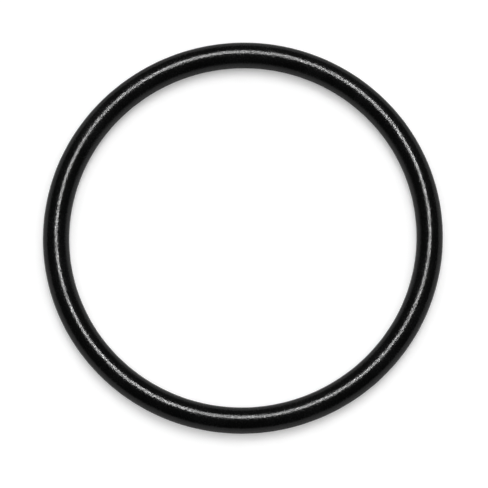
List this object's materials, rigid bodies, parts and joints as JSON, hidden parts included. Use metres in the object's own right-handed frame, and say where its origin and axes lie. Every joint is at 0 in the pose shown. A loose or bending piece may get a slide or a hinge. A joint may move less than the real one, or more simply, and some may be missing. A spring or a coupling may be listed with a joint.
{
  "type": "rubber o-ring",
  "caption": "Black rubber o-ring: a closed ring with a round section and a faint trimmed parting line inside and outside, lying flat.",
  "frame": {"origin": "centre of the ring, on the middle plane of its section, where the mould parts", "axes": "+Z along the ring's axis; X and Y lie in the middle plane and are alike"},
  "size_m": [0.046, 0.046, 0.003],
  "materials": {
    "rubber": "satin moulded black rubber"
  },
  "bodies": {
    "root": {"o_ring": "rubber"}
  },
  "joints": []
}
